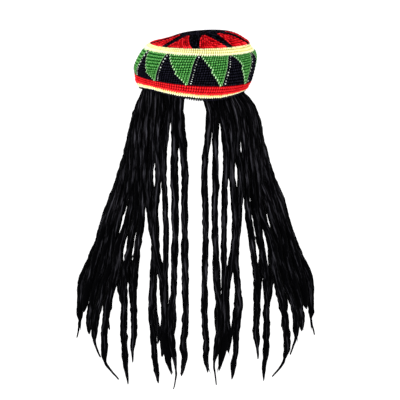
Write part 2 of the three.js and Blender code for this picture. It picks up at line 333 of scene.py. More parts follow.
@dataclass
class Paint:
    """A node material in the making, with the values that its shader starts from."""

    name: str
    values: dict[str, Any]
    made: Material = field(init=False)

    def __post_init__(self) -> None:
        """Start the material with its shader."""
        self.made = bpy.data.materials.new(self.name)
        self.made.use_nodes = True
        for key, value in self.values.items():
            self.shader.inputs[key].default_value = value

    @property
    def shader(self) -> Node:
        """The material's shader."""
        return self.made.node_tree.nodes["Principled BSDF"]

    def node(self, kind: str, inputs: dict[Any, Any] | None = None, **settings: Any) -> Node:
        """Add one node.

        Args:
            kind: Its type, after the word that all shader nodes start with.
            inputs: The values of its inputs, by their names or numbers.
            settings: Its own settings.

        Returns:
            The node.
        """
        node = self.made.node_tree.nodes.new(f"ShaderNode{kind}")
        for name, value in settings.items():
            setattr(node, name, value)
        for key, value in (inputs or {}).items():
            node.inputs[key].default_value = value
        return node

    def ramp(self, *stops: tuple[float, Colour]) -> Node:
        """Add a ramp of colours.

        Args:
            stops: The place and the screen colour of each stop, from the lowest up.

        Returns:
            The node.
        """
        node = self.node("ValToRGB")
        for place, _ in stops[1:-1]:
            node.color_ramp.elements.new(place)
        for element, (place, colour) in zip(node.color_ramp.elements, stops):
            element.position, element.color = place, linear(*colour)
        return node

    def joined(self, *links: tuple[Node, str, Node, str | int]) -> Material:
        """Link the nodes, which finishes the material.

        Args:
            links: For each link a node, its output, the next node and its input.

        Returns:
            The material.
        """
        for start, output, end, taken in links:
            self.made.node_tree.links.new(start.outputs[output], end.inputs[taken])
        return self.made


@dataclass(frozen=True)
class YarnFinish:
    """Spun acrylic yarn: plies that turn along the strand, with painted shade in the grooves and a
    painted highlight on top.

    deep, plain and pale are its screen colours from the grooves up, deep being painted shade and
    pale a painted highlight, fleck is how much the plies vary them, and stretch is how far the
    plies are drawn out along the strand.
    """

    name: str
    deep: Colour
    plain: Colour
    pale: Colour
    sheen: float = 0.05
    gloss: float = 0.1
    fleck: float = 0.7
    stretch: float = 0.22
    plain_stop: float = 0.55

    def material(self) -> Material:
        """The finish as a node material.

        Returns:
            A material whose plies follow the grain of the strand.
        """
        sheen = {"Sheen Weight": self.sheen, "Sheen Roughness": 0.6}
        paint = Paint(self.name, {"Roughness": 0.9, "Specular IOR Level": self.gloss} | sheen)
        grain = paint.node("Attribute", attribute_name="grain")
        # painted shade and highlight: lift moves the tone from the deep colour in the grooves to the pale
        # one on top
        lift = paint.node("Attribute", attribute_name="lift")
        drawn = paint.node("Mapping", {"Scale": (1.0, 1.0, self.stretch)})
        plies = paint.node("TexNoise", {"Scale": 1100, "Detail": 3})
        fleck = paint.node("Math", {1: self.fleck, 2: -self.fleck / 2}, operation="MULTIPLY_ADD")
        tone = paint.node("Math", operation="ADD", use_clamp=True)
        ramp = paint.ramp((0, self.deep), (self.plain_stop, self.plain), (1, self.pale))
        bump = paint.node("Bump", {"Strength": 0.5, "Distance": 0.0005})
        return paint.joined(
            (grain, "Vector", drawn, "Vector"),
            (drawn, "Vector", plies, "Vector"),
            (plies, "Fac", fleck, 0),
            (fleck, "Value", tone, 0),
            (lift, "Fac", tone, 1),
            (tone, "Value", ramp, "Fac"),
            (ramp, "Color", paint.shader, "Base Color"),
            (plies, "Fac", bump, "Height"),
            (bump, "Normal", paint.shader, "Normal"),
        )


@dataclass(frozen=True)
class FeltFinish:
    """Felted synthetic fibre: matted, drawn out along the lock, with faint grey fibre streaks and a
    painted highlight along its ridges.

    deep and pale are its screen colours, stops the tones at which they start and end, stretch is
    how far the fibres are drawn out along the lock, and ridge_highlight how much the painted
    highlight on a ridge adds to the tone.
    """

    name: str = "felted_fibre"
    deep: Colour = (1, 1, 2)
    pale: Colour = (74, 73, 80)
    stops: Pair = (0.6, 0.86)
    stretch: float = 0.045
    ridge_highlight: float = 0.14

    def material(self) -> Material:
        """The finish as a node material.

        Returns:
            A material whose fibres follow the grain of the lock.
        """
        paint = Paint(self.name, {"Roughness": 0.85, "Specular IOR Level": 0.02, "Sheen Weight": 0})
        grain = paint.node("Attribute", attribute_name="grain")
        drawn = paint.node("Mapping", {"Scale": (1.0, 1.0, self.stretch)})
        streaks = paint.node("TexNoise", {"Scale": 560, "Detail": 4, "Roughness": 0.6})
        mats = paint.node("TexNoise", {"Scale": 900, "Detail": 4})
        ramp = paint.ramp((self.stops[0], self.deep), (self.stops[1], self.pale))
        # painted highlight: the lift attribute marks the lock's ridges, which this paints a paler grey
        ridge = paint.node("Attribute", attribute_name="lift")
        ridge_highlight = paint.node("Math", {1: self.ridge_highlight}, operation="MULTIPLY_ADD")
        height = paint.node("Math", operation="ADD")
        bump = paint.node("Bump", {"Strength": 0.7, "Distance": 0.0009})
        return paint.joined(
            (grain, "Vector", drawn, "Vector"),
            (drawn, "Vector", streaks, "Vector"),
            (grain, "Vector", mats, "Vector"),
            (ridge, "Fac", ridge_highlight, 0),
            (streaks, "Fac", ridge_highlight, 2),
            (ridge_highlight, "Value", ramp, "Fac"),
            (ramp, "Color", paint.shader, "Base Color"),
            (streaks, "Fac", height, 0),
            (mats, "Fac", height, 1),
            (height, "Value", bump, "Height"),
            (bump, "Normal", paint.shader, "Normal"),
        )


@dataclass
class Wardrobe:
    """Every finish of the tam, made once: each yarn's own, a pale green for the edge strand and the
    painted highlight on the steps, and the carried yarn.
    """

    plain: dict[Yarn, Material] = field(init=False)
    worn_green: Material = field(init=False)
    carried: Material = field(init=False)

    def __post_init__(self) -> None:
        """Make the materials."""
        # Each yarn's first colour is its painted shade in the grooves, and its last is its painted
        # highlight on top.
        finishes = (
            YarnFinish("black_acrylic", (0, 0, 1), (2, 2, 5), (34, 33, 45), 0, 0.01),
            YarnFinish("red_acrylic", (64, 0, 4), (206, 6, 18), (250, 48, 54), 0.005, 0.02),
            YarnFinish("green_acrylic", (1, 20, 5), (17, 94, 25), (116, 196, 104), 0.005, 0.02),
            YarnFinish("cream_acrylic", (212, 196, 108), (252, 246, 158), (255, 255, 218), 0.01, 0.03),
            FeltFinish(),
        )
        self.plain = {yarn: finish.material() for yarn, finish in zip(Yarn, finishes)}
        # a paler green: the edge strand's own colour, and a painted highlight on the left strand of each
        # step
        worn_green = YarnFinish("worn_green_acrylic", (66, 132, 70), (140, 204, 128), (216, 244, 200))
        self.worn_green = worn_green.material()
        carried = YarnFinish("carried_yarn", (150, 165, 150), (214, 224, 212), (248, 250, 246))
        self.carried = carried.material()


@dataclass
class CapForm:
    """The filled-out form of the crocheted cap, from its rim to the middle of its crown.

    Each row of sections is a round counted from the rim, then width and depth as shares of half the
    cap's, height as a share of the crown's, the shift to the right and the tilt of the right side.
    The rim waves rim_waves times round, which fades over its first rim_fade rounds, and the cap is
    dented dent_count times round. overhang is the length of a round that hangs below the rim.
    """

    width: float = 225
    depth: float = 258
    height: float = 106
    wall: float = 4
    rim_wave: float = 4
    rim_waves: int = 3
    rim_crest: float = math.radians(-45)
    rim_fade: float = 6
    overhang: float = 4.6
    dent_depth: float = 1.4
    dent_count: int = 3
    sections: tuple[tuple[float, ...], ...] = (
        (0, 0.875, 0.9, 0.02, -0.04, -0.045),
        (1, 0.893, 0.915, 0.058, -0.044, -0.049),
        (3, 0.92, 0.94, 0.118, -0.05, -0.074),
        (6, 0.96, 0.962, 0.243, -0.027, -0.062),
        (12.2, 1, 1, 0.475, 0.009, 0.05),
        (16, 0.95, 0.96, 0.63, 0.04, 0.028),
        (19, 0.872, 0.885, 0.724, 0.075, -0.028),
        (22, 0.78, 0.73, 0.818, 0.08, 0.015),
        (26, 0.575, 0.59, 0.91, 0.1, 0.045),
        (31, 0.345, 0.35, 0.975, 0.118, 0.024),
        (39, 0, 0, 1, 0.12, 0),
    )

    def size(self, column: int, rounds: np.ndarray | float) -> np.ndarray | float:
        """One column of the sections, read at many rounds."""
        table = np.array(self.sections, dtype=float)
        return through(table[:, 0], table[:, column], np.asarray(rounds, dtype=float))

    def radius(self, rounds: np.ndarray | float) -> np.ndarray | float:
        """The cap's mean radius at a round."""
        return (self.size(1, rounds) * self.width + self.size(2, rounds) * self.depth) / 4

    def surface(self, rounds: np.ndarray, angle: np.ndarray) -> np.ndarray:
        """The outer surface of the cap.

        Args:
            rounds: Rounds from the rim.
            angle: Angles from the front, rising to the viewer's right.

        Returns:
            One point for each round and angle.
        """
        below = np.minimum(rounds, 0) * self.overhang
        rounds = np.maximum(rounds, 0)
        across = np.sin(angle)
        top = self.sections[-1][0]
        hollow = (1 - np.cos(self.dent_count * angle)) / 2
        dent = self.dent_depth * np.sin(np.pi * rounds / top) ** 2 * hollow
        half_width = self.size(1, rounds) * self.width / 2
        half_depth = self.size(2, rounds) * self.depth / 2
        inward = np.maximum(0, 1 - dent / np.maximum(half_width, self.dent_depth))
        soft = np.maximum(0, 1 - rounds / self.rim_fade)
        wave = self.rim_wave * soft * np.cos(self.rim_waves * (angle - self.rim_crest))
        return np.stack(
            [
                self.size(4, rounds) * self.width / 2 + half_width * inward * across,
                -half_depth * inward * np.cos(angle),
                (self.size(3, rounds) + self.size(5, rounds) * across) * self.height + wave + below,
            ],
            axis=-1,
        )

    def point(self, rounds: np.ndarray, angle: np.ndarray, out: np.ndarray) -> np.ndarray:
        """A point of the wall at a distance out from its outer surface.

        Args:
            rounds: Rounds from the rim.
            angle: Angles from the front.
            out: Distance outward, below nought for inside the wall.

        Returns:
            One point for each.
        """
        nudge = 0.05
        low = np.minimum(rounds, self.sections[-1][0] - 4 * nudge)
        up = self.surface(low + nudge, angle) - self.surface(low - nudge, angle)
        turn = self.surface(low, angle + nudge) - self.surface(low, angle - nudge)
        outward = np.cross(turn, up)
        outward /= np.linalg.norm(outward, axis=-1, keepdims=True)
        return self.surface(rounds, angle) + outward * np.asarray(out)[..., None]


@dataclass
class Stitch:
    """One crochet stitch, modelled in a cell one stitch wide and one round high.

    x runs across the cell from -0.5 to 0.5, y up it from 0 to 1, and z out of the wall in millimetres.
    Its two strands stand proud at the foot, over the round below, and are tucked in at the head.
    foot, belly and head are places on a strand's path, and girth its thickness at each of them.
    ground and back are the front and the back of the block behind them, which has block_faces;
    the block's front is painted in the deepest tone, as shade between the strands. A strand's tone
    runs from painted shade at deepest to painted highlight at proudest.
    """

    width: float = 4.7
    height: float = 4.75
    leg_sides: int = 6
    leg_steps: int = 4
    foot: Triple = (0.05, -0.42, -0.85)
    belly: Triple = (0.17, 0.28, -0.6)
    head: Triple = (0.3, 0.86, -3.1)
    girth: Triple = (0.85, 1.32, 1.0)
    ground: float = -2.5
    back: float = -4.0
    back_swell: float = 0.5
    deepest: float = -2.3
    proudest: float = 0.7
    end_girth: float = 0.62
    leg_lean: float = 0.3
    twist: float = 2.2
    ply_reach: float = 1.4
    back_inset: float = 0.24
    back_lift: float = 0.45
    block_faces: int = 10

    def lift(self, out: np.ndarray) -> np.ndarray:
        """How far out of the grooves a point stands, from 0 to 1: painted shade low, painted highlight
        high.
        """
        return np.clip((out - self.deepest) / (self.proudest - self.deepest), 0, 1) ** 2

    def leg(self, side: int) -> Form:
        """One of the stitch's two strands, from the foot of the cell up to one corner.

        Args:
            side: -1 for the left strand, 1 for the right.

        Returns:
            The strand, thickest in the middle.
        """
        tube = drawn_tube(self.leg_sides, (self.leg_steps,))
        across, out, along = tube.points.T
        knots = np.array([0.0, 0.5, 1.0])
        places = zip(self.foot, self.belly, self.head)
        path = [through(knots, np.array(values), along) for values in places]
        inner = (along > 0.01) & (along < 0.99)
        fat = through(knots, np.array(self.girth), along) * np.where(inner, 1, self.end_girth)
        lean = side * self.leg_lean
        x = side * path[0] * self.width + fat * across * math.cos(lean)
        y = path[1] * self.height - fat * across * math.sin(lean)
        z = path[2] + fat * out
        turn = self.twist * along * side
        grain = np.stack(
            [
                self.ply_reach * (across * np.cos(turn) - out * np.sin(turn)),
                self.ply_reach * (across * np.sin(turn) + out * np.cos(turn)),
                along * self.height,
            ],
            axis=-1,
        )
        points = np.stack([x / self.width, y / self.height, z], axis=-1)
        # painted shade and highlight: each point's depth sets its tone, dark in the grooves and pale on
        # top
        return tube.with_points(points, grain, self.lift(z)).outward()

    def backing(self) -> Form:
        """The fabric behind the strands, a block that fills the cell, its back swelled by one loop.

        Returns:
            The block.
        """
        middle, size = (self.ground + self.back) / 2, (1, 1, self.ground - self.back)
        block = started(bpy.ops.mesh.primitive_cube_add, size=1, location=(0, 0.5, middle), scale=size)
        bpy.ops.object.mode_set(mode="EDIT")
        pick(block, "FACE", lambda face: face.normal.z < -0.5)
        bpy.ops.mesh.inset(thickness=self.back_inset)
        bpy.ops.transform.translate(value=(0, 0, -self.back_swell))
        bpy.ops.object.mode_set(mode="OBJECT")
        form = Form.of(block)
        # painted shade: the block's front, between the strands, takes the deepest tone; its back takes a
        # middle one
        lift = np.where(form.points[:, 2] > middle, 0.0, self.back_lift)
        return form.with_points(form.points, form.points * self.width, lift)

    def model(self) -> Form:
        """The whole stitch.

        Returns:
            The backing, then the left strand, then the right one.
        """
        return Form.joined([self.backing(), self.leg(-1), self.leg(1)])


@dataclass
class Cell:
    """The place of one stitch: its round, its middle and its width as angles at its foot and its head.

    accent marks a stitch whose left strand is painted paler green as a highlight on the step, and
    over one that is worked into another colour.
    """

    round: float
    foot: float
    head: float
    foot_width: float
    head_width: float
    accent: bool = False
    over: bool = False


@dataclass
class Crochet:
    """The crocheted fabric: which node and yarn each stitch belongs to, round by round.

    The zigzag band has repeats points of stitches stitches each, in the rounds from band's first
    up to its second, and the crown has its rounds from crown_start up to crown_end, with red wedges
    up to wedge_end. Starts and leans are angles. worked_over are the rounds whose feet reach into
    another colour. reach is the range of how far down a foot goes, rim_reach what is left of it
    over the rim's edging, and lowest where the edging ends. slack is how far the rounds of the rim
    stand up out of level, and slack_waves are its waves' sizes, counts and starts. side_tones and
    crown_tones are the middle and the spread of the stitches' tones, which scale the painted shade
    and highlight: the crown's lower middle is painted shade, and the spread is tone that differs at
    random. A dot has its shape, its sizes, its height in a round and its distance from the edge in
    stitches.
    """

    cap: CapForm
    finishes: Wardrobe
    repeats: int = 11
    stitches: int = 14
    widest: int = 12
    band: tuple[int, int] = (6, 19)
    start: float = math.radians(-1.2)
    lean: float = math.radians(11.3)
    wedges: int = 9
    wedge_share: float = 0.78
    wedge_tip: float = 4
    wedge_start: float = math.radians(-0.5)
    wedge_lean: float = math.radians(13)
    wedge_end: int = 31
    crown_start: int = 22
    crown_end: int = 39
    stagger: float = 0.06
    worked_over: tuple[int, ...] = (1, 3, 19, 22)
    reach: Pair = (0.7, 1.2)
    rim_reach: float = 0.4
    lowest: float = -0.35
    slack: float = 0.3
    slack_waves: tuple[tuple[float, int, int], ...] = ((0.25, 1, 0), (0.14, 7, 1), (0.1, 17, 2))
    slack_rounds: int = 3
    side_tones: Pair = (1, 0.16)
    crown_tones: Pair = (0.78, 0.55)
    dot_shape: Triple = (0.75, 0.62, 0.5)
    dot_sizes: tuple[float, ...] = (0.8, 1.4, 1.9)
    dot_height: float = 0.62
    dot_turn: float = 1.3
    cells: dict[str, list[Cell]] = field(default_factory=dict)
    yarns: dict[str, Yarn] = field(default_factory=dict)

    @property
    def repeat(self) -> float:
        """The angle that one point of the zigzag band takes."""
        return 2 * math.pi / self.repeats

    @property
    def stitch(self) -> float:
        """The angle that one stitch of the side takes."""
        return self.repeat / self.stitches

    def lay_run(
        self, node: str, yarn: Yarn, row: int, ends: Iterable[Pair], count: int, closed: bool = False
    ) -> None:
        """Lay one run of stitches of one yarn in a round, staggered against the rounds next to it.

        Args:
            node: The node that the stitches belong to.
            yarn: Their yarn.
            row: Their round.
            ends: The run's left and right end, as angles, at its foot and then at its head.
            count: How many stitches there are.
            closed: Whether the run goes on into the next one, so that its ends are staggered too.
        """
        steps = np.arange(count + 1)
        shifted = 1 if closed else steps % count > 0
        steps = steps + self.stagger * (-1) ** row * shifted
        low, high = (left + (right - left) * steps / count for left, right in ends)
        self.yarns[node] = yarn
        for i in range(count):
            middle, width = (low[i] + low[i + 1]) / 2, low[i + 1] - low[i]
            cell = Cell(row, middle, (high[i] + high[i + 1]) / 2, width, high[i + 1] - high[i])
            # painted highlight: the first green stitch of each run is marked for a paler left strand
            cell.accent, cell.over = yarn is Yarn.GREEN and i == 0, row in self.worked_over
            self.cells.setdefault(node, []).append(cell)

    @property
    def wedge(self) -> float:
        """The angle that one wedge of the crown takes with the black beside it."""
        return 2 * math.pi / self.wedges

    def smooth_edge(self, rounds: np.ndarray | float) -> np.ndarray | float:
        """The angle of the first point's smooth edge at a round, which the columns of stitches follow."""
        first, end = self.band
        low = self.start + self.repeat / 2 + self.lean + self.stitch / 2
        high = self.start + self.repeat - self.stitch / 2
        return low + (high - low) * (rounds - first) / (end - first)

    def lay_side(self) -> None:
        """Lay the stitches of the side, from the rim to the top of the upper stripe."""
        first, end = self.band
        rings = {0: ("rim_edging", Yarn.BLACK)}
        rings |= {row: ("lower_stripe", Yarn.CREAM) for row in (1, 2)}
        rings |= {row: ("red_stripe", Yarn.RED) for row in (3, 4, 5)}
        rings |= {row: ("upper_stripe", Yarn.CREAM) for row in (19, 20, 21)}
        for row in range(self.crown_start):
            edges = self.smooth_edge(row), self.smooth_edge(row + 1)
            green = round(1 + (self.widest - 1) * (row - first) / (end - 1 - first))
            for k in range(self.repeats):
                ends = [(edge + k * self.repeat, edge + (k + 1) * self.repeat) for edge in edges]
                if row in rings:
                    self.lay_run(*rings[row], row, ends, self.stitches, closed=True)
                    continue
                wide = green * self.stitch
                points = [(left - wide, left) for left, _ in ends]
                self.lay_run(f"green_point_{k + 1:02d}", Yarn.GREEN, row, points, green)
                points = [(left, right - wide) for left, right in ends]
                self.lay_run(f"black_point_{k + 1:02d}", Yarn.BLACK, row, points, self.stitches - green)

    def wedge_edge(self, rounds: float) -> Pair:
        """The left edge and the width of the first red wedge at a round, as angles."""
        share = min(1.0, (rounds - self.crown_start) / (self.wedge_end - self.crown_start))
        base = self.wedge_share * self.wedge * self.cap.radius(self.crown_start)
        wide = (base + (self.wedge_tip - base) * share) / self.cap.radius(min(rounds, self.wedge_end))
        middle = self.wedge_start + self.wedge_share / 2 * self.wedge - self.wedge_lean * share
        return middle - wide / 2, wide

    def lay_crown(self) -> None:
        """Lay the stitches of the crown, nine fewer in each round, with the red wedges among them."""
        for row in range(self.crown_start, self.crown_end):
            count = max(1, self.crown_end - 1 - row)
            (foot, foot_wide), (head, head_wide) = self.wedge_edge(row), self.wedge_edge(row + 1)
            red = round(count * (foot_wide + head_wide) / 2 / self.wedge) if row < self.wedge_end else 0
            for k in range(self.wedges):
                left, above = foot + k * self.wedge, head + k * self.wedge
                right, beyond = left + self.wedge, above + self.wedge
                if not red:
                    ends = (left, right), (above, beyond)
                    self.lay_run("crown_top", Yarn.BLACK, row, ends, count, closed=True)
                    continue
                ends = (left, left + foot_wide), (above, above + head_wide)
                self.lay_run(f"red_wedge_{k + 1:02d}", Yarn.RED, row, ends, red)
                ends = (left + foot_wide, right), (above + head_wide, beyond)
                self.lay_run("crown_top", Yarn.BLACK, row, ends, count - red)

    def worked(self, pattern: Form, cells: list[Cell]) -> Form:
        """Copies of the stitch laid on the cap, one in each cell.

        Args:
            pattern: The stitch.
            cells: Where the copies go.

        Returns:
            All the copies as one form.
        """
        table = np.array([[c.round, c.foot, c.head, c.foot_width, c.head_width] for c in cells])
        row, foot, head, foot_width, head_width = (table[:, i, None] for i in range(5))
        x, y, z = pattern.points.T[:, None, :]
        rng = np.random.default_rng(len(cells))
        reach = rng.uniform(*self.reach, (len(cells), 1)) * np.where(row == 1, self.rim_reach, 1)
        rounds = np.clip(row + y * np.where(y < 0, reach, 1), self.lowest, self.crown_end)
        over = np.clip(y, 0, 1)
        angle = foot + (head - foot) * y + x * (foot_width + (head_width - foot_width) * over)
        waves = (size * np.sin(count * angle + start) for size, count, start in self.slack_waves)
        rise = np.clip(rounds, 0, self.slack_rounds) / self.slack_rounds
        rounds = rounds + sum(waves, self.slack) * np.sin(np.pi * rise)
        points = self.cap.point(rounds, angle, np.broadcast_to(z, rounds.shape)).reshape(-1, 3)
        copies, size, corners = len(cells), len(pattern.points), len(pattern.corners)
        step = np.repeat(np.arange(copies) * size, corners)
        offset = np.stack([np.arange(copies) * 3.7, np.arange(copies) * 1.3, np.zeros(copies)], axis=-1)
        grain = (pattern.grain[None] + offset[:, None]).reshape(-1, 3)
        # painted shade: the crown's stitches get a lower middle tone, which darkens the crown; the spread
        # is random tone
        crown = row[:, 0] >= self.crown_start
        tone, spread = (np.where(crown, *pair) for pair in zip(self.crown_tones, self.side_tones))
        tones = tone + rng.uniform(-1, 1, copies) * spread
        lift = np.minimum(1, pattern.lift[None] * tones[:, None]).ravel()
        finish = np.tile(pattern.finish, (copies, 1))
        # painted highlight: each accent stitch's left strand takes the paler green
        left_leg = slice(Stitch.block_faces, (Stitch.block_faces + len(pattern.counts)) // 2)
        finish[np.array([cell.accent for cell in cells]), left_leg] = 1
        corners = np.tile(pattern.corners, copies) + step
        return Form(points, corners, np.tile(pattern.counts, copies), grain, lift, finish.ravel())

    def edge_strand(self, k: int) -> Form:
        """The pale strand that shows along the smooth edge of a green point.

        Args:
            k: The point's number, from 0.

        Returns:
            A thin strand that weaves once a round.
        """
        margin, thick, weave, sink, rise = 0.05, 0.5, 0.35, 0.15, 0.4
        first, end = self.band
        tube = drawn_tube(5, (78,))
        across, out, along = tube.points.T
        rounds = first + margin + (end - first - 2 * margin) * along
        aside = (weave * np.sin(2 * np.pi * rounds) + thick * across) / self.cap.radius(rounds)
        proud = sink + rise * np.cos(2 * np.pi * (rounds - 0.3)) + thick * out
        points = self.cap.point(rounds, self.smooth_edge(rounds) + k * self.repeat + aside, proud)
        grain = np.stack([across, out, along * 60 + k * 70], axis=-1)
        made = tube.with_points(points, grain, np.full(len(points), 0.5)).outward()
        made.finish[:] = 1
        return made

    def carried_dots(self, k: int) -> Form:
        """The carried yarn that peeps through beside the smooth edge, a dot in each round.

        Args:
            k: The point's number, from 0.

        Returns:
            The dots.
        """
        size = {"segments": 8, "ring_count": 5, "radius": 1, "scale": self.dot_shape}
        dot = Form.of(started(bpy.ops.mesh.primitive_uv_sphere_add, **size))
        rng = np.random.default_rng(7 + k)
        made = []
        for row in range(self.band[0], self.band[1] - 1):
            x, y, z = dot.points.T * rng.choice(self.dot_sizes)
            middle = row + self.dot_height
            turn = self.dot_turn * self.stitch + rng.uniform(-0.003, 0.003)
            angle = self.smooth_edge(middle) + k * self.repeat + turn + x / self.cap.radius(row)
            points = self.cap.point(middle + y / Stitch.height, angle, 0.3 + z)
            lift = np.full(len(points), rng.uniform(0.35, 0.75))
            copy = dot.with_points(points, dot.points * 3 + row, lift).outward()
            copy.finish[:] = 1
            made.append(copy)
        return Form.joined(made)

    def build(self) -> None:
        """Crochet every node of the cap as one piece."""
        self.lay_side()
        self.lay_crown()
        over = Stitch(foot=(0.0, -0.85, 0.6), belly=(0.2, 0.28, -0.2), girth=(0.8, 1.45, 1.0))
        patterns = Stitch().model(), over.model()
        for node, cells in self.cells.items():
            yarn = self.yarns[node]
            groups = [cell for cell in cells if not cell.over], [cell for cell in cells if cell.over]
            finishes = [self.finishes.plain[yarn]]
            forms = [self.worked(pattern, group) for pattern, group in zip(patterns, groups) if group]
            if node.startswith("green_point"):
                finishes.append(self.finishes.worn_green)
                forms.append(self.edge_strand(int(node[-2:]) - 1))
            if node.startswith("black_point"):
                finishes.append(self.finishes.carried)
                forms.append(self.carried_dots(int(node[-2:]) - 1))
            piece = Form.joined(forms).piece(f"crocheted_{node}", finishes)
            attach(piece, "root")
            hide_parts(node)
            log.info("crocheted %s: %d stitches in %s", node, len(cells), yarn.value)


@dataclass(frozen=True)
class Lock:
    """One felted lock of the left bunch.

    root is its angle round the rim in degrees from the front. path is how far out it hangs, in
    thousandths of the fringe's reach, at the exit depth and then at each tenth of the drop. neck
    and tip are the same at the start and the end of its last run, drop its length in thousandths
    of the longest, girth its thickness as a share of the ordinary one, point the length over which
    it narrows at its end, and hair the length of the thin strand that it ends in.
    """

    root: float
    path: tuple[int, ...]
    neck: int
    tip: int
    drop: int
    girth: float
    point: float = 40
    hair: float = 0


@dataclass(frozen=True)
class Knob:
    """A felted lump on one lock: its lock, its depth below the origin, its side, size and spread."""

    lock: int
    depth: float
    side: int
    size: float
    spread: float = 6


@dataclass(frozen=True)
class Wisp:
    """A thin felted end: its lock, where it leaves it, its length, its turn outward and its thickness."""

    lock: int
    start: float
    length: float
    out: float
    thick: float


LOCKS = (
    (14, (108, 106, 78, 74, 79, 81, 77, 71, 88), 83, 105, 912, 1.04, 30),
    (21, (150, 150, 155, 154, 154, 157, 162, 189, 185), 148, 171, 960, 1, 30, 42),
    (31, (188, 210, 233, 226, 220, 225, 226, 228, 225), 216, 186, 916, 1, 30),
    (39.5, (248, 268, 279, 283, 307, 298, 257, 247, 259), 259, 263, 860, 1, 25),
    (49.5, (296, 314, 322, 352, 340, 320, 328, 349, 333), 314, 296, 966, 1.02, 28),
    (60, (338, 361, 377, 396, 412, 448, 478, 488, 491), 504, 505, 903, 1.12, 28, 16),
    (71, (376, 403, 423, 444, 464, 512, 558, 573, 579), 568, 557, 1000, 1.12, 65),
    (82, (404, 438, 468, 491, 512, 588, 637, 692, 741), 738, 637, 999, 1.28, 24, 42),
    (92, (420, 468, 510, 522, 588, 652, 697, 766, 829), 834, 794, 932, 1.25, 22, 34),
    (101, (415, 472, 526, 576, 636, 702, 756, 830, 883), 883, 891, 858, 1.24, 20),
    (110, (390, 458, 533, 596, 671, 751, 822, 887, 930), 914, 935, 788, 1.22, 20),
    (119, (364, 445, 531, 605, 703, 779, 864, 952, 978), 981, 1015, 894, 1.15, 16, 34),
    (126, (342, 430, 520, 585, 645, 710, 770, 810, 850), 860, 870, 870, 1.1),
    (131.5, (320, 410, 490, 540, 594, 655, 700, 735, 770), 765, 740, 880, 1.1),
    (137, (291, 385, 450, 492, 535, 585, 633, 645, 615), 605, 600, 900, 1.1),
    (142.5, (260, 335, 385, 430, 485, 535, 563, 553, 535), 525, 520, 930, 1.1),
    (148, (228, 300, 337, 370, 362, 330, 336, 355, 352), 335, 330, 950, 1),
    (153.5, (193, 250, 280, 300, 335, 340, 325, 275, 265), 260, 255, 910, 1),
    (159, (160, 180, 168, 162, 161, 163, 167, 188, 194), 185, 190, 930, 1),
    (164.5, (118, 116, 98, 84, 84, 86, 82, 78, 90), 88, 95, 900, 1),
)
KNOBS = (
    (0, 416, 1, 1.6), (0, 443, -1, 1.4), (0, 474, 1, 1.6), (1, 160, 1, 1.5), (1, 181, -1, 1.5),
    (4, 399, -1, 6, 7), (5, 416, 1, 2.2), (5, 418, -1, 1.2), (6, 480, -1, 2.2), (6, 474, 1, 1.2),
    (7, 426, -1, 1.8), (7, 480, 1, 1.4), (2, 474, -1, 4, 18), (2, 468, 1, 4.5, 20),
    (1, 462, -1, 3, 16), (3, 452, 1, 3, 16), (10, 385, -1, 4, 42), (11, 385, 1, 4, 42),
    (9, 360, -1, 2.5, 60), (10, 340, 1, 3, 50), (8, 330, -1, 2.5, 50), (7, 312, 1, 4, 34),
    (11, 400, -1, 2, 40),
)
WISPS = (
    (2, 470, 62, -3, 5), (2, 478, 40, 2, 4), (3, 455, 45, 2, 4), (7, 478, 32, -6, 5),
    (11, 470, 34, -5, 5), (8, 480, 28, 5, 4), (9, 440, 50, 3, 6), (0, 500, 26, 4, 4),
)


